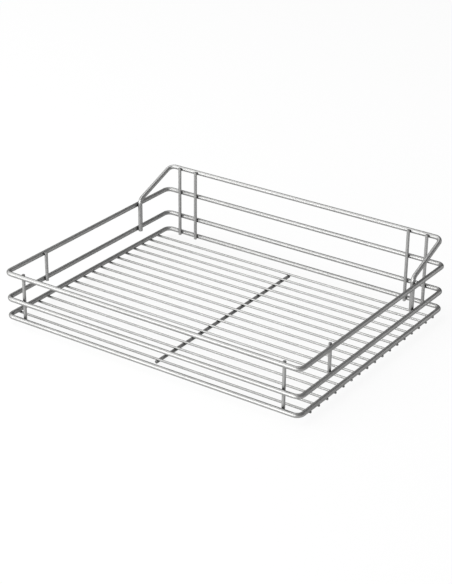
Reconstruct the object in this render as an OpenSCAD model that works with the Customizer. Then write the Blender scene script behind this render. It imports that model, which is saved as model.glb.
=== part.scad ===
// Wire basket of a pull-out pantry, in millimetres.
// Three closed rings of heavy wire, a raised back rail, uprights and a floor of thin wires are
// resistance-welded where they cross. A thinner wire is seated on a heavier one: it carries a
// shallow saddle, as deep as the weld presses the two together.
// X runs along the width, Y from front to back and Z up. The origin lies under the middle of the
// basket, level with the underside of the cross bar.

/* [Rings] */
// Width between the middles of the two side rails
ring_width = 512; // [430:1:900]
// Depth between the middles of the front and back rails
ring_depth = 400; // [330:1:600]
// Diameter of the heavy wire in the rings and the back rail
rail_d = 7; // [6:0.5:9]
// Radius of every bend in the heavy wire, to the middle of the wire
rail_bend = 10; // [7:0.5:20]
// Height of the middle ring above the base ring, middle to middle
middle_rise = 29; // [22:0.5:60]
// Height of the upper ring above the middle ring, middle to middle
upper_rise = 41.7; // [25:0.1:90]

/* [Raised back rail] */
// Height of the back rail above the upper ring, middle to middle
back_rise = 41.7; // [30:0.1:80]
// Distance from the legs to the plane of the back runs, middle to middle
leg_setback = 84; // [50:1:140]
// Height above the upper ring at which a leg and its slope would meet
knee_rise = 9.4; // [8:0.1:14]
// Wire left on a leg past the middle of the middle ring
leg_tail = 3; // [2.5:0.1:8]

/* [Uprights] */
// Diameter of the upright wire
upright_d = 5; // [4:0.5:6]
// Distance from a side rail to the outer uprights, middle to middle
upright_inset = 28.7; // [24:0.1:60]
// Distance between the two uprights of each back pair, middle to middle
pair_spacing = 31.2; // [15:0.1:80]
// Distance from the front rail to the side uprights, middle to middle
side_upright_setback = 84; // [30:1:140]
// Wire left on an upright past the middle of its last rail
upright_tail = 2.5; // [2:0.1:6]
// Wire left on a side upright above the middle of the upper ring
side_upright_top = 3.1; // [2:0.1:6]
// Wire left on a back upright below the middle of the base ring
back_upright_foot = 3.4; // [2:0.1:6]

/* [Floor] */
// Diameter of the floor wires
floor_d = 3.5; // [2.5:0.1:4.5]
// Number of floor wires
floor_count = 17; // [9:1:21]
// Distance from the front and back rails to the nearest floor wire, middle to middle
floor_margin = 27; // [22:0.5:50]
// Wire left on a floor wire past the middle of a side rail
floor_tail = 2.3; // [2:0.1:8]
// Diameter of the cross bar under the floor wires
bar_d = 5; // [4:0.5:7]
// Wire left on the cross bar past the middle of the last floor wire
bar_tail = 2.3; // [2:0.1:12]

/* [Welds and ends] */
// Depth to which a weld presses two crossing wires into each other
weld_sink = 0.3; // [0.1:0.05:0.5]
// Bevel round the cut end of a wire
end_bevel = 0.4; // [0.2:0.1:0.8]

/* [Hidden] */
$fn = 48;
silver = [0.74, 0.75, 0.75];
right_angle = 90;
half_turn = 180;

// Middles of the outer rails
side_x = ring_width / 2;
back_y = ring_depth / 2;

// Heights of the wires' middles, from the cross bar up
bar_z = bar_d / 2;
floor_z = bar_d + floor_d / 2 - weld_sink;
base_z = floor_z + (floor_d + rail_d) / 2 - weld_sink;
middle_z = base_z + middle_rise;
upper_z = middle_z + upper_rise;
back_z = upper_z + back_rise;

// Loss of diameter where the wire is bent, and the bend's lap into the straight wire
bend_draw = 0.02;
bend_lap = 0.3;
lap_angle = bend_lap / rail_bend * half_turn / PI;

// Straight lengths of a ring between its bends
run_x = ring_width - 2 * rail_bend;
run_y = ring_depth - 2 * rail_bend;

// The uprights and legs stand against the inside of the rails
upright_offset = (rail_d + upright_d) / 2 - weld_sink;
leg_x = side_x - rail_d + weld_sink;
leg_y = back_y - leg_setback;

// The back rail's legs turn at the knee into a slope that climbs to the back corners
knee_z = upper_z + knee_rise;
slope = atan2(back_z - knee_z, leg_setback);
knee_turn = right_angle - slope;
knee_reach = rail_bend * tan(knee_turn / 2);
slope_length = norm([leg_setback, back_z - knee_z]) - knee_reach - rail_bend;

// Middles of the uprights
outer_x = side_x - upright_inset;
inner_x = outer_x - pair_spacing;
side_upright_y = side_upright_setback - back_y;

// Spread of the floor wires
floor_first_y = floor_margin - back_y;
floor_pitch = -2 * floor_first_y / (floor_count - 1);

left = -1;
right = 1;
front = -1;
back = 1;

function floor_wire_name(i) = str("floor_wire_", i < 10 ? "0" : "", i);

// A straight wire standing on Z, with its two cut ends bevelled
module cut_wire(d, length) {
    r = d / 2;
    rotate_extrude()
        polygon([
            [0, 0],
            [r - end_bevel, 0],
            [r, end_bevel],
            [r, length - end_bevel],
            [r - end_bevel, length],
            [0, length]
        ]);
}

// A bend in the heavy wire, from the local X axis towards the local Y axis. Bending draws the wire
// a hair thinner, and each end of the bend laps into the straight wire that it continues.
module rail_elbow(turn) {
    rotate(-lap_angle)
        rotate_extrude(angle = turn + 2 * lap_angle)
            translate([rail_bend, 0])
                circle(d = rail_d - bend_draw);
}

// A straight run of heavy wire along the front or the back
module cross_run(end, z, length = run_x) {
    translate([0, end * back_y, z])
        rotate([0, right_angle, 0])
            cylinder(d = rail_d, h = length, center = true);
}

// A straight run of heavy wire along the left or the right
module side_run(side, z) {
    translate([side * side_x, 0, z])
        rotate([right_angle, 0, 0])
            cylinder(d = rail_d, h = run_y, center = true);
}

// One closed ring, bent from a single wire
module ring(z) {
    color(silver)
        union() {
            for (end = [front, back]) cross_run(end, z);
            for (side = [left, right]) side_run(side, z);
            for (quarter = [0 : 3])
                translate([
                    (quarter == 0 || quarter == 3 ? right : left) * run_x / 2,
                    (quarter < 2 ? back : front) * run_y / 2,
                    z
                ])
                    rotate(quarter * right_angle)
                        rail_elbow(right_angle);
        }
}

module base_ring() ring(base_z);

module middle_ring() ring(middle_z);

module upper_ring() ring(upper_z);

// Left half of the back rail's bent end: leg, knee, slope and back corner
module back_rail_end() {
    foot_z = middle_z - leg_tail;
    knee_start_z = knee_z - knee_reach;
    translate([-leg_x, leg_y, foot_z]) {
        cylinder(d1 = rail_d - 2 * end_bevel, d2 = rail_d, h = end_bevel);
        translate([0, 0, end_bevel])
            cylinder(d = rail_d, h = knee_start_z - foot_z - end_bevel);
    }
    translate([-leg_x, leg_y + rail_bend, knee_start_z])
        rotate([right_angle, 0, -right_angle])
            rail_elbow(knee_turn);
    translate([-leg_x, leg_y, knee_z])
        rotate([-knee_turn, 0, 0])
            translate([0, 0, knee_reach])
                cylinder(d = rail_d, h = slope_length);
    translate([
        rail_bend - leg_x,
        back_y - rail_bend * cos(slope),
        back_z - rail_bend * sin(slope)
    ])
        rotate([slope, 0, 0])
            rotate([0, half_turn, 0])
                rail_elbow(right_angle);
}

// The raised back rail, one wire whose legs are welded inside the upper and middle rings
module back_rail() {
    color(silver)
        difference() {
            union() {
                cross_run(back, back_z, 2 * (leg_x - rail_bend));
                back_rail_end();
                mirror([1, 0, 0]) back_rail_end();
            }
            for (side = [left, right], z = [middle_z, upper_z]) side_run(side, z);
        }
}

// An upright between two heights, with its tails past both rails
module upright(x, y, low_z, high_z, foot = upright_tail, top = upright_tail) {
    translate([x, y, low_z - foot])
        cut_wire(upright_d, high_z - low_z + foot + top);
}

// Front upright, inside the front runs of all three rings
module front_upright(side) {
    color(silver)
        difference() {
            upright(side * outer_x, upright_offset - back_y, base_z, upper_z);
            for (z = [base_z, middle_z, upper_z]) cross_run(front, z);
        }
}

// Side upright, inside the side runs of the middle and upper rings
module side_upright(side) {
    color(silver)
        difference() {
            upright(
                side * (side_x - upright_offset), side_upright_y, middle_z, upper_z,
                top = side_upright_top
            );
            for (z = [middle_z, upper_z]) side_run(side, z);
        }
}

// Back upright, inside the back runs of all three rings and the raised rail
module back_upright(x) {
    color(silver)
        difference() {
            upright(x, back_y - upright_offset, base_z, back_z, foot = back_upright_foot);
            for (z = [base_z, middle_z, upper_z, back_z]) cross_run(back, z);
        }
}

// The bar that ties the floor wires together at mid width
module cross_bar() {
    color(silver)
        translate([0, floor_first_y - bar_tail, bar_z])
            rotate([-right_angle, 0, 0])
                cut_wire(bar_d, 2 * (bar_tail - floor_first_y));
}

// One floor wire, under the base ring's side runs and over the cross bar
module floor_wire(i) {
    color(silver)
        difference() {
            translate([-side_x - floor_tail, floor_first_y + (i - 1) * floor_pitch, floor_z])
                rotate([0, right_angle, 0])
                    cut_wire(floor_d, ring_width + 2 * floor_tail);
            for (side = [left, right]) side_run(side, base_z);
            cross_bar();
        }
}

base_ring();
middle_ring();
upper_ring();
back_rail();
front_upright(left);  // front_upright_left
front_upright(right);  // front_upright_right
side_upright(left);  // side_upright_left
side_upright(right);  // side_upright_right
back_upright(-outer_x);  // back_upright_left_outer
back_upright(-inner_x);  // back_upright_left_inner
back_upright(inner_x);  // back_upright_right_inner
back_upright(outer_x);  // back_upright_right_outer
cross_bar();
for (i = [1 : floor_count])
    floor_wire(i);
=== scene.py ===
# %% [markdown]
# # A welded wire basket for a pull-out pantry
# The basket is steel wire in three gauges: heavy rings and a raised back rail, thinner uprights and a
# cross bar, and a floor of thin wires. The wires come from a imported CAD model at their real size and
# place, so this lesson never moves them. It adds what a CAD model leaves out: the silver lacquer, the
# small collars of metal at the welds, and a studio with a camera.

# %% Load the wires
import math

import bpy
import numpy as np
from mathutils import Matrix, Vector


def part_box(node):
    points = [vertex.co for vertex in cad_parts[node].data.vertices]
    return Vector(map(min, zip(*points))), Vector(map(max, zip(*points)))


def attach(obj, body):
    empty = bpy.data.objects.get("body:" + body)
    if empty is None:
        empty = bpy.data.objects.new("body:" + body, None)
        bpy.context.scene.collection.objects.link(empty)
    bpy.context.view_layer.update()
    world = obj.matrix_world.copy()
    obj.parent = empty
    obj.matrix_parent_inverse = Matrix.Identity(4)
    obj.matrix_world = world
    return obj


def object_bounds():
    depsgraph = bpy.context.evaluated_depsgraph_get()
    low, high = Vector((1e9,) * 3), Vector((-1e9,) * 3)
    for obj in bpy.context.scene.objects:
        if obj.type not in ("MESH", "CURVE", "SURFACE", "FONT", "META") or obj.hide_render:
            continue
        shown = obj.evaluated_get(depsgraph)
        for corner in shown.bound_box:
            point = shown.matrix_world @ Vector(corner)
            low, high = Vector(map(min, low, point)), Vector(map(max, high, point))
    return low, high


MM = 0.001

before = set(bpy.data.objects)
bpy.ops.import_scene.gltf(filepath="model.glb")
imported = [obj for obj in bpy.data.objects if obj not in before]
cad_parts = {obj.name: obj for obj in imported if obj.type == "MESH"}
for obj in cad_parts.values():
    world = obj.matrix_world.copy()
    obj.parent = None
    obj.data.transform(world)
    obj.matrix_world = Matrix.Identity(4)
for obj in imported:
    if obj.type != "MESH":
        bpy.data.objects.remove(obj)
cad_low, cad_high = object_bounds()
print("wires:", len(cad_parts), "size in mm:", [round(s / MM, 1) for s in cad_high - cad_low])

# %% [markdown]
# ## Measure the basket
# Every later step needs the middle lines and the gauges of the wires. They could be typed in again,
# but then a change in the CAD model would leave them behind. A wire that runs along one axis fills its
# box across that axis, so its gauge and its middle line are read straight from the box.

# %% Gauges and middle lines of the wires
def middle(node):
    low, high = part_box(node)
    return (low + high) / 2


def extent(node):
    low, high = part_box(node)
    return high - low


RINGS = ["base_ring", "middle_ring", "upper_ring"]
SIDES = ["left", "right"]
FRONT_UPRIGHTS = ["front_upright_" + side for side in SIDES]
SIDE_UPRIGHTS = ["side_upright_" + side for side in SIDES]
BACK_UPRIGHTS = sorted(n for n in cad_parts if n.startswith("back_upright"))
FLOOR_WIRES = sorted(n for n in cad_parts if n.startswith("floor_wire"))

rail_d = extent("base_ring").z
upright_d = extent(FRONT_UPRIGHTS[0]).x
floor_d = extent(FLOOR_WIRES[0]).y
bar_d = extent("cross_bar").x

side_x = extent("base_ring").x / 2 - rail_d / 2
back_y = extent("base_ring").y / 2 - rail_d / 2
ring_z = {ring: middle(ring).z for ring in RINGS}
back_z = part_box("back_rail")[1].z - rail_d / 2
print("gauges in mm:", [round(d / MM, 2) for d in (rail_d, upright_d, floor_d, bar_d)])
print("ring heights in mm:", [round(z / MM, 1) for z in ring_z.values()], "back rail", round(back_z / MM, 1))

# %% [markdown]
# ## The camera
# The view is a product shot from the right of the front, looking down at the basket. A camera could be
# placed by eye, but a wrong lens makes the far rails too long or too short, and no angle mends that.
# So the angles, the distance and the lens were worked out together from the lines of the rails, and
# the camera is swung round an aim point in the middle of the basket.

# %% Camera at the viewing angle
VIEW_AZIMUTH = math.radians(34.4)
VIEW_ELEVATION = math.radians(26.05)
VIEW_ROLL = math.radians(0.58)
VIEW_DISTANCE = 2.4254
VIEW_AIM = Vector((0.0044, -0.0075, 0.0481))
LENS_MM = 100.65


def photo_camera():
    back = Vector((
        math.sin(VIEW_AZIMUTH) * math.cos(VIEW_ELEVATION),
        -math.cos(VIEW_AZIMUTH) * math.cos(VIEW_ELEVATION),
        math.sin(VIEW_ELEVATION),
    ))
    camera = bpy.data.objects.new("photo_camera", bpy.data.cameras.new("photo_camera"))
    bpy.context.scene.collection.objects.link(camera)
    camera.data.lens = LENS_MM
    camera.rotation_mode = "QUATERNION"
    turn = (-back).to_track_quat("-Z", "Y").to_matrix()
    camera.rotation_quaternion = (turn @ Matrix.Rotation(VIEW_ROLL, 3, "Z")).to_quaternion()
    camera.location = VIEW_AIM + back * VIEW_DISTANCE
    bpy.context.scene.camera = camera
    return camera


camera = photo_camera()
print("camera at", [round(c, 3) for c in camera.location])

# %% [markdown]
# ## Node helpers
# A material is a small graph of nodes. Writing every node by hand hides the idea of the material in
# bookkeeping, so one helper makes a node with its settings and another fills its sockets.

# %% Node helpers
def add_node(tree, kind, **settings):
    node = tree.nodes.new(kind)
    for name, value in settings.items():
        setattr(node, name, value)
    return node


def set_inputs(node, **values):
    for name, value in values.items():
        node.inputs[name.replace("_", " ")].default_value = value


print("two node helpers:", add_node.__name__, "and", set_inputs.__name__)

# %% [markdown]
# ## Studio floor
# The basket stands on white paper that fills the picture. Paper lit by lamps alone goes grey towards
# its edges, and more light would burn out the metal. So camera, mirror and glass rays see most of the
# paper as plain white, and the rest of it is ordinary paper that still takes the basket's shadow.

# %% White paper
PAPER_WHITE = (0.9, 0.9, 0.9, 1)
PLAIN_WHITE = (1, 1, 1, 1)
PAPER_PLAIN_SHARE = 0.9


def larger(tree, one, other):
    node = add_node(tree, "ShaderNodeMath", operation="MAXIMUM")
    tree.links.new(one, node.inputs[0])
    tree.links.new(other, node.inputs[1])
    return node.outputs[0]


def white_paper():
    paper = bpy.data.materials.new("white_paper")
    paper.use_nodes = True
    tree = paper.node_tree
    tree.nodes.clear()
    lit = add_node(tree, "ShaderNodeBsdfDiffuse")
    set_inputs(lit, Color=PAPER_WHITE)
    plain = add_node(tree, "ShaderNodeEmission")
    set_inputs(plain, Color=PLAIN_WHITE, Strength=1)
    rays = add_node(tree, "ShaderNodeLightPath").outputs
    seen = larger(tree, rays["Is Camera Ray"], rays["Is Glossy Ray"])
    share = add_node(tree, "ShaderNodeMath", operation="MULTIPLY")
    share.inputs[1].default_value = PAPER_PLAIN_SHARE
    tree.links.new(larger(tree, seen, rays["Is Transmission Ray"]), share.inputs[0])
    mix = add_node(tree, "ShaderNodeMixShader")
    tree.links.new(share.outputs[0], mix.inputs["Fac"])
    tree.links.new(lit.outputs[0], mix.inputs[1])
    tree.links.new(plain.outputs[0], mix.inputs[2])
    out = add_node(tree, "ShaderNodeOutputMaterial")
    tree.links.new(mix.outputs[0], out.inputs["Surface"])
    return paper


paper = white_paper()
print("white paper of", len(paper.node_tree.nodes), "nodes")

# %% [markdown]
# In a studio the paper hangs from a roll and curves down to the table. Only its flat part is in the
# picture, so one large square is enough, and its edge lies far outside the frame.

# %% Paper under the basket
PAPER_SIZE = 60


def studio_floor():
    half = PAPER_SIZE / 2
    mesh = bpy.data.meshes.new("studio_floor")
    corners = [(-half, -half, 0), (half, -half, 0), (half, half, 0), (-half, half, 0)]
    mesh.from_pydata(corners, [], [(0, 1, 2, 3)])
    mesh.materials.append(paper)
    floor = bpy.data.objects.new("studio_floor", mesh)
    floor.location.z = cad_low.z
    bpy.context.scene.collection.objects.link(floor)


studio_floor()
print("paper of", PAPER_SIZE, "m under the basket")

# %% [markdown]
# ## Studio light
# Round wire shows its shape by what it mirrors. The rails across the width mirror the front left, the
# rails along the depth mirror the back right, and the uprights mirror mostly the paper. A spot lamp
# would give hard thin glints. Large panels in a dim, even room give the broad pale bands of a product
# shot instead, and the room keeps the sides that no panel reaches from turning black.

# %% The room
ROOM_DIM = 0.19


def studio_room():
    room = bpy.data.worlds.new("studio_room")
    bpy.context.scene.world = room
    room.use_nodes = True
    set_inputs(room.node_tree.nodes["Background"], Color=[ROOM_DIM] * 3 + [1], Strength=1)


studio_room()
print("room level", ROOM_DIM)

# %% [markdown]
# A lamp's brightness is easier to judge than its watts: a panel of brightness 1 looks as white as the
# paper. So each panel takes its brightness and works out its watts from its area. The first one is the
# wide softbox at the front left, which draws the pale band along the front and back rails.

# %% The softbox
KEY_TOWARDS = Vector((-0.447, -0.823, 0.35)).normalized()
KEY_DISTANCE = 3.2
KEY_SIZE = (5.8, 2.5)
KEY_BRIGHTNESS = 2.6
WATTS_PER_SQUARE_METRE = 4


def softbox(name, towards, distance, size, brightness):
    lamp = bpy.data.objects.new(name, bpy.data.lights.new(name, "AREA"))
    lamp.data.shape = "RECTANGLE"
    lamp.data.size, lamp.data.size_y = size
    lamp.data.energy = WATTS_PER_SQUARE_METRE * size[0] * size[1] * brightness
    lamp.location = towards * distance
    lamp.rotation_mode = "QUATERNION"
    lamp.rotation_quaternion = (-towards).to_track_quat("-Z", "Y")
    lamp.visible_camera = False
    bpy.context.scene.collection.objects.link(lamp)
    print(name, "of", size, "m with", round(lamp.data.energy, 1), "watts")


softbox("key_softbox", KEY_TOWARDS, KEY_DISTANCE, KEY_SIZE, KEY_BRIGHTNESS)

# %% [markdown]
# Two more panels shape the band. A bright strip stands low at the front, so that the rails and the
# uprights stay light below the middle. A square panel hangs over the left side and lets the band fade
# softly towards the top of each wire, where it would otherwise end in a hard line.

# %% The front strip and the top panel
STRIP_TOWARDS = Vector((-0.1, -0.97, 0.235)).normalized()
STRIP_DISTANCE = 3
STRIP_SIZE = (3.2, 1.25)
STRIP_BRIGHTNESS = 3.3
TOP_TOWARDS = Vector((-0.47, 0, 0.88)).normalized()
TOP_DISTANCE = 3
TOP_SIZE = (2.8, 2.8)
TOP_BRIGHTNESS = 2

softbox("front_strip", STRIP_TOWARDS, STRIP_DISTANCE, STRIP_SIZE, STRIP_BRIGHTNESS)
softbox("top_panel", TOP_TOWARDS, TOP_DISTANCE, TOP_SIZE, TOP_BRIGHTNESS)

# %% [markdown]
# The last panel is small and weak, and stands low behind the right side. It draws a paler band along
# the lower half of the right rails, which would be lost against the dim room.

# %% The fill panel
FILL_TOWARDS = Vector((0.63, 0.73, 0.27)).normalized()
FILL_DISTANCE = 1.36
FILL_SIZE = (0.5, 0.6)
FILL_BRIGHTNESS = 1.45

softbox("fill_panel", FILL_TOWARDS, FILL_DISTANCE, FILL_SIZE, FILL_BRIGHTNESS)

# %% [markdown]
# ## Silver lacquer
# The finish is a satin silver lacquer, sprayed and baked over drawn wire. A plain metal shader would
# look like chrome, because in lacquer the metal is only fine flakes that lie at slightly different
# angles. So the shader is mostly metal with a wide gloss and a small share of dull paint. It is put
# together from the effects that the next cells make one by one.
#
# The first is the tone. A sprayed coat is never equally thick, so the grey drifts a little along each
# wire. A slow noise, spread over two close greys by a colour ramp, gives that drift.

# %% Tone of the lacquer
LACQUER_TONE = (0.335, 0.335, 0.331)
TONE_DRIFT = 0.06
DRIFT_SCALE = 18
DRIFT_DETAIL = 2
DRIFT_RANGE = (0.25, 0.75)


def noise(tree, where, scale, detail):
    texture = add_node(tree, "ShaderNodeTexNoise")
    set_inputs(texture, Scale=scale, Detail=detail)
    tree.links.new(where.outputs["Object"], texture.inputs["Vector"])
    return texture.outputs["Fac"]


def lacquer_tone(tree, where, shade):
    tint = add_node(tree, "ShaderNodeValToRGB")
    dark, light = tint.color_ramp.elements
    dark.position, light.position = DRIFT_RANGE
    dark.color = [shade * (1 - TONE_DRIFT) * c for c in LACQUER_TONE] + [1]
    light.color = [shade * (1 + TONE_DRIFT) * c for c in LACQUER_TONE] + [1]
    tree.links.new(noise(tree, where, DRIFT_SCALE, DRIFT_DETAIL), tint.inputs["Fac"])
    return tint.outputs["Color"]


print("lacquer tone", LACQUER_TONE, "with a drift of", TONE_DRIFT)

# %% [markdown]
# Where two round wires meet, the gap between them closes to a wedge and little light gets out of it,
# so the welds of a lacquered basket look nearly black. Here that is painted shade: the base colour is
# darkened wherever the surface is closed in. A dark ring could be painted round each weld. The ambient
# occlusion node does it for all of them at once, because it measures how closed in a point of the
# surface is, whatever it is that closes it in.

# %% Painted shade in the crevices
PAINTED_SHADE_REACH = 8 * MM
PAINTED_SHADE_DARKEST = 0.06
PAINTED_SHADE_RANGE = (0.4, 0.9)
PAINTED_SHADE_SAMPLES = 4


def painted_crevice_shade(tree):
    # painted shade: the more closed in a point is, the darker its base colour, down to a small share of the
    # tone
    crevice = add_node(tree, "ShaderNodeAmbientOcclusion", samples=PAINTED_SHADE_SAMPLES)
    set_inputs(crevice, Distance=PAINTED_SHADE_REACH)
    reached = add_node(tree, "ShaderNodeMapRange", interpolation_type="SMOOTHSTEP")
    low, high = PAINTED_SHADE_RANGE
    set_inputs(reached, From_Min=low, From_Max=high, To_Min=PAINTED_SHADE_DARKEST, To_Max=1)
    tree.links.new(crevice.outputs["AO"], reached.inputs["Value"])
    return reached.outputs["Result"]


print("crevices darken within", round(PAINTED_SHADE_REACH / MM, 1), "mm")

# %% [markdown]
# The flakes change the gloss from spot to spot, so a fine noise spreads the roughness round its middle
# value. A sprayed coat also dries with a faint ripple, like orange peel, which is far too fine to model
# and breaks up the reflections just as well as a bump.

# %% Flakes and orange peel
LACQUER_ROUGHNESS = 0.44
FLAKE_SPREAD = 0.05
FLAKE_SCALE = 2500
FLAKE_DETAIL = 1
PEEL_SCALE = 700
PEEL_DETAIL = 2
PEEL_STRENGTH = 0.08
PEEL_HEIGHT = 0.2 * MM


def flake_gloss(tree, where, roughness):
    flakes = add_node(tree, "ShaderNodeMapRange")
    set_inputs(flakes, To_Min=roughness - FLAKE_SPREAD, To_Max=roughness + FLAKE_SPREAD)
    tree.links.new(noise(tree, where, FLAKE_SCALE, FLAKE_DETAIL), flakes.inputs["Value"])
    return flakes.outputs["Result"]


def orange_peel(tree, where):
    ripple = add_node(tree, "ShaderNodeBump")
    set_inputs(ripple, Strength=PEEL_STRENGTH, Distance=PEEL_HEIGHT)
    tree.links.new(noise(tree, where, PEEL_SCALE, PEEL_DETAIL), ripple.inputs["Height"])
    return ripple.outputs["Normal"]


print("roughness", LACQUER_ROUGHNESS, "plus or minus", FLAKE_SPREAD)

# %% [markdown]
# The straight wires are sheared to length before they are welded. A sheared face is duller than drawn
# wire and carries fine drag marks. It could have a material of its own, but the meshes of the CAD model
# stay as they are. The direction of the surface tells the ends from the sides just as well, because
# only a cut end faces along the wire.

# %% Sheared ends
CUT_FACING = (0.8, 0.95)
CUT_SHADE = 0.72
CUT_ROUGHNESS = 0.14
DRAG_SCALE = 500
DRAG_DETAIL = 2
DRAG_DISTORTION = 6
DRAG_HEIGHT = 0.015 * MM


def cut_face(tree, where, along):
    facing = add_node(tree, "ShaderNodeVectorMath", operation="DOT_PRODUCT")
    facing.inputs[1].default_value = along
    tree.links.new(where.outputs["Normal"], facing.inputs[0])
    either_end = add_node(tree, "ShaderNodeMath", operation="ABSOLUTE")
    tree.links.new(facing.outputs["Value"], either_end.inputs[0])
    cut = add_node(tree, "ShaderNodeMapRange", interpolation_type="SMOOTHSTEP")
    set_inputs(cut, From_Min=CUT_FACING[0], From_Max=CUT_FACING[1])
    tree.links.new(either_end.outputs[0], cut.inputs["Value"])
    return cut.outputs["Result"]


# the level that comes in is the painted crevice shade, and a cut face darkens it a little more with its own
# duller tone
def dull_level(tree, cut, level):
    dull = add_node(tree, "ShaderNodeMapRange")
    set_inputs(dull, To_Min=1, To_Max=CUT_SHADE)
    tree.links.new(cut, dull.inputs["Value"])
    both = add_node(tree, "ShaderNodeMath", operation="MULTIPLY")
    tree.links.new(level, both.inputs[0])
    tree.links.new(dull.outputs["Result"], both.inputs[1])
    return both.outputs[0]


def dull_gloss(tree, cut, gloss):
    rougher = add_node(tree, "ShaderNodeMath", operation="MULTIPLY_ADD")
    rougher.inputs[1].default_value = CUT_ROUGHNESS
    tree.links.new(cut, rougher.inputs[0])
    tree.links.new(gloss, rougher.inputs[2])
    return rougher.outputs[0]


def drag_marks(tree, where, cut, relief):
    marks = add_node(tree, "ShaderNodeTexWave", bands_direction="DIAGONAL")
    set_inputs(marks, Scale=DRAG_SCALE, Distortion=DRAG_DISTORTION, Detail=DRAG_DETAIL)
    tree.links.new(where.outputs["Object"], marks.inputs["Vector"])
    drag = add_node(tree, "ShaderNodeBump")
    set_inputs(drag, Distance=DRAG_HEIGHT)
    tree.links.new(cut, drag.inputs["Strength"])
    tree.links.new(marks.outputs["Fac"], drag.inputs["Height"])
    tree.links.new(relief, drag.inputs["Normal"])
    return drag.outputs["Normal"]


print("cut ends are darkened to", CUT_SHADE, "of the lacquer")

# %% [markdown]
# Now the effects come together in one Principled shader. The share of metal is the same all over, so
# it is set on the shader's own socket. So is the edge tint, which is low: without it the rims of the
# wires would turn white at a glancing angle, as polished metal does.

# %% The whole lacquer
LACQUER_METAL = 0.82
LACQUER_EDGE = 0.15


def silver_lacquer(name, along=None, shade=1.0, roughness=LACQUER_ROUGHNESS):
    lacquer = bpy.data.materials.new(name)
    lacquer.use_nodes = True
    tree = lacquer.node_tree
    shader = tree.nodes["Principled BSDF"]
    set_inputs(shader, Metallic=LACQUER_METAL, Specular_Tint=[LACQUER_EDGE] * 3 + [1])
    where = add_node(tree, "ShaderNodeTexCoord")
    # level starts as the painted shade of the crevices
    level = painted_crevice_shade(tree)
    gloss = flake_gloss(tree, where, roughness)
    relief = orange_peel(tree, where)
    if along is not None:
        cut = cut_face(tree, where, along)
        level = dull_level(tree, cut, level)
        gloss = dull_gloss(tree, cut, gloss)
        relief = drag_marks(tree, where, cut, relief)
    # the base colour is the tone scaled by the level, so it carries the painted crevice shade
    colour = add_node(tree, "ShaderNodeVectorMath", operation="SCALE")
    tree.links.new(lacquer_tone(tree, where, shade), colour.inputs[0])
    tree.links.new(level, colour.inputs["Scale"])
    tree.links.new(colour.outputs[0], shader.inputs["Base Color"])
    tree.links.new(gloss, shader.inputs["Roughness"])
    tree.links.new(relief, shader.inputs["Normal"])
    return lacquer


print("share of metal", LACQUER_METAL, "with an edge tint of", LACQUER_EDGE)

# %% [markdown]
# The whole basket is sprayed in one go, so all wires get the same lacquer. It still comes in four
# versions, one for each family of wires, because the cut ends of each family face another way: up and
# down on the uprights, to the front and back on the cross bar, to the sides on the floor wires. The
# rings have no ends, and the two feet of the raised rail face down, so the rails go without.

# %% Coat the wires
AXIS_X, AXIS_Y, AXIS_Z = Vector((1, 0, 0)), Vector((0, 1, 0)), Vector((0, 0, 1))


def coat(nodes, lacquer):
    for node in nodes:
        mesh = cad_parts[node].data
        mesh.materials.clear()
        mesh.materials.append(lacquer)
    print(lacquer.name, "on", len(nodes), "wires")


coat(RINGS + ["back_rail"], silver_lacquer("rail_lacquer"))
coat(FRONT_UPRIGHTS + SIDE_UPRIGHTS + BACK_UPRIGHTS, silver_lacquer("upright_lacquer", along=AXIS_Z))
coat(["cross_bar"], silver_lacquer("bar_lacquer", along=AXIS_Y))
coat(FLOOR_WIRES, silver_lacquer("floor_lacquer", along=AXIS_X))

# %% [markdown]
# ## Weld collars
# The wires are resistance-welded: they are pressed together while current melts the spot where they
# touch, and a little metal is squeezed out round it. In the CAD model two wires simply meet in a
# saddle. A sphere at each crossing would look like a blob of glue, so each collar is worked out from
# the gap between the two round wires: it fills the gap out to where the gap is as wide as the collar
# is thick, and its wall is drawn in a little. Its inner faces lie hidden in the wires.

# %% How far a collar reaches
COLLAR_MOST = 0.93
COLLAR_HALVINGS = 30


def wire_gap(along, across, run_r, cross_r, distance):
    low = np.sqrt(run_r**2 - across**2)
    high = distance - np.sqrt(cross_r**2 - along**2)
    return low, high


def collar_reach(turn, thickness, run_r, cross_r, distance):
    near = np.zeros_like(turn)
    far = np.full_like(turn, COLLAR_MOST * min(run_r, cross_r))
    for _ in range(COLLAR_HALVINGS):
        reach = (near + far) / 2
        low, high = wire_gap(reach * np.cos(turn), reach * np.sin(turn), run_r, cross_r, distance)
        inside = high - low < thickness
        near = np.where(inside, reach, near)
        far = np.where(inside, far, reach)
    return near


print("a collar reaches out to at most", COLLAR_MOST, "of the thinner wire's radius")

# %% [markdown]
# No two welds squeeze out the same collar. Two waves round the collar and a random size make each one
# a little uneven, and the random numbers start from a fixed seed, so every run gives the same basket.

# %% Shape of one collar
COLLAR_POINTS = 20
COLLAR_THICKNESS = 0.12
COLLAR_SIZES = (0.85, 1.15)
COLLAR_WAVES = ((2, 0.16), (3, 0.08))
COLLAR_SINK = 0.05 * MM
COLLAR_CORE = 0.4 * MM
COLLAR_WALL = ((0.0, 1.0), (0.25, 0.945), (0.5, 0.925), (0.75, 0.945), (1.0, 1.0))
COLLAR_SEED = 7
collar_random = np.random.default_rng(COLLAR_SEED)


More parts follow.
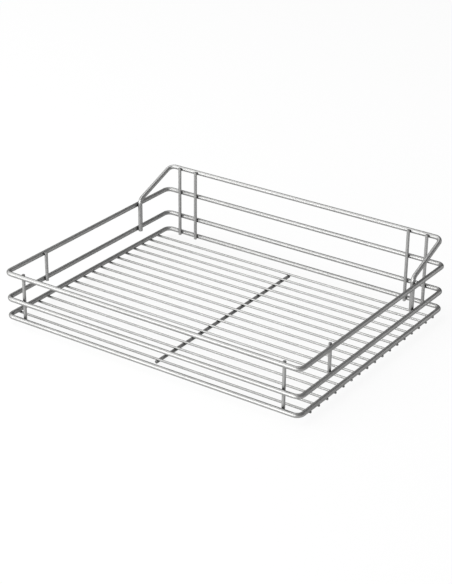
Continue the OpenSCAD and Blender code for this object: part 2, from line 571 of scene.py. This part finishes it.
def collar_points(run_r, cross_r, distance):
    turn = np.linspace(0, 2 * np.pi, COLLAR_POINTS, endpoint=False)
    starts = collar_random.uniform(0, 2 * np.pi, len(COLLAR_WAVES))
    uneven = np.ones_like(turn)
    for (count, height), start in zip(COLLAR_WAVES, starts):
        uneven += height * np.sin(count * turn + start)
    thickness = COLLAR_THICKNESS * min(run_r, cross_r) * uneven * collar_random.uniform(*COLLAR_SIZES)
    reach = collar_reach(turn, thickness, run_r, cross_r, distance)
    along, across = reach * np.cos(turn), reach * np.sin(turn)
    low, high = wire_gap(along, across, run_r, cross_r, distance)
    low, high = low - COLLAR_SINK, high + COLLAR_SINK
    rings = [np.stack([along * w, across * w, low + t * (high - low)], 1) for t, w in COLLAR_WALL]
    cores = [[0, 0, distance - cross_r - COLLAR_CORE], [0, 0, run_r + COLLAR_CORE]]
    return np.concatenate(rings + [cores])


def collar_faces():
    last = (len(COLLAR_WALL) - 1) * COLLAR_POINTS
    bottom_core = last + COLLAR_POINTS
    top_core = bottom_core + 1
    faces = []
    for i in range(COLLAR_POINTS):
        j = (i + 1) % COLLAR_POINTS
        for low in range(0, last, COLLAR_POINTS):
            high = low + COLLAR_POINTS
            faces.append((low + i, low + j, high + j, high + i))
        faces.append((bottom_core, j, i))
        faces.append((top_core, last + i, last + j))
    return faces


print("faces of one collar:", len(collar_faces()))

# %% [markdown]
# Each crossing needs the point on the first wire's middle line, the direction of that wire and the way
# from it to the second wire. The collars of one family of wires are joined into one piece. Squeezed-out
# metal takes the lacquer badly, so the collars are a little darker and duller than the wires.

# %% A family of collars
WELD_SHADE = 0.7
WELD_ROUGHNESS = 0.56
weld_lacquer = silver_lacquer("weld_lacquer", shade=WELD_SHADE, roughness=WELD_ROUGHNESS)


def weld_collars(name, crossings, run_r, cross_r, distance):
    points, faces = [], []
    for place, run, normal in crossings:
        turn = np.array([run, normal.cross(run), normal])
        faces += [tuple(len(points) + k for k in face) for face in collar_faces()]
        points += [tuple(p) for p in collar_points(run_r, cross_r, distance) @ turn + np.array(place)]
    mesh = bpy.data.meshes.new(name)
    mesh.from_pydata(points, [], faces)
    mesh.shade_smooth()
    mesh.materials.append(weld_lacquer)
    piece = bpy.data.objects.new(name, mesh)
    bpy.context.scene.collection.objects.link(piece)
    print(name, "has", len(crossings), "collars with", len(points), "points")
    return piece


print("collars take", WELD_SHADE, "of the lacquer's tone")

# %% [markdown]
# The uprights stand against the inside of the rails: at the front and the back they cross rails that
# run along X, and at the sides rails that run along Y. A loop over the uprights and the heights of the
# rails finds every crossing, which is safer than a typed list of places.

# %% Where the uprights cross the rails
SIDE_RINGS = ["middle_ring", "upper_ring"]
rail_r, upright_r, floor_r, bar_r = rail_d / 2, upright_d / 2, floor_d / 2, bar_d / 2
upright_gap = back_y + middle(FRONT_UPRIGHTS[0]).y
crossings = []
for node in FRONT_UPRIGHTS:
    for z in ring_z.values():
        crossings.append((Vector((middle(node).x, -back_y, z)), AXIS_X, AXIS_Y))
for node in BACK_UPRIGHTS:
    for z in [*ring_z.values(), back_z]:
        crossings.append((Vector((middle(node).x, back_y, z)), AXIS_X, -AXIS_Y))
for node in SIDE_UPRIGHTS:
    side = math.copysign(1, middle(node).x)
    for ring in SIDE_RINGS:
        crossings.append((Vector((side * side_x, middle(node).y, ring_z[ring])), AXIS_Y, -side * AXIS_X))

upright_welds = weld_collars("upright_welds", crossings, rail_r, upright_r, upright_gap)
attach(upright_welds, "root")

# %% [markdown]
# The two legs of the raised back rail are heavy wire, welded inside the side rails of the middle and
# the upper ring. Their middle line is half a wire inside the box of the back rail.

# %% Where the legs of the back rail cross the rings
leg_low, leg_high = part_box("back_rail")
leg_y = leg_low.y + rail_r
leg_gap = side_x - (leg_high.x - rail_r)
crossings = []
for side in (-1, 1):
    for ring in SIDE_RINGS:
        crossings.append((Vector((side * side_x, leg_y, ring_z[ring])), AXIS_Y, -side * AXIS_X))

leg_welds = weld_collars("leg_welds", crossings, rail_r, rail_r, leg_gap)
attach(leg_welds, "root")

# %% [markdown]
# Each floor wire hangs under the two side rails of the base ring and lies on the cross bar. In a
# factory all these spots are welded in one stroke of a wide press, so their collars are alike in kind
# and differ only by chance.

# %% Where the floor wires cross the side rails
floor_z = middle(FLOOR_WIRES[0]).z
floor_y = [middle(node).y for node in FLOOR_WIRES]
base_z = ring_z["base_ring"]
crossings = [(Vector((side * side_x, y, base_z)), AXIS_Y, -AXIS_Z) for y in floor_y for side in (-1, 1)]

floor_welds = weld_collars("floor_welds", crossings, rail_r, floor_r, base_z - floor_z)
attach(floor_welds, "root")

# %% [markdown]
# The cross bar ties the floor wires together at mid width. It lies under them, so here the way from
# the first wire to the second one points up and not down.

# %% Where the floor wires cross the cross bar
bar_x, bar_z = middle("cross_bar").x, middle("cross_bar").z
crossings = [(Vector((bar_x, y, bar_z)), AXIS_Y, AXIS_Z) for y in floor_y]

bar_welds = weld_collars("bar_welds", crossings, bar_r, floor_r, floor_z - bar_z)
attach(bar_welds, "root")

# %% [markdown]
# ## View settings
# The view settings stay plain, so that a colour shows as it is written.

# %% Plain view settings
bpy.context.scene.view_settings.view_transform = "Standard"
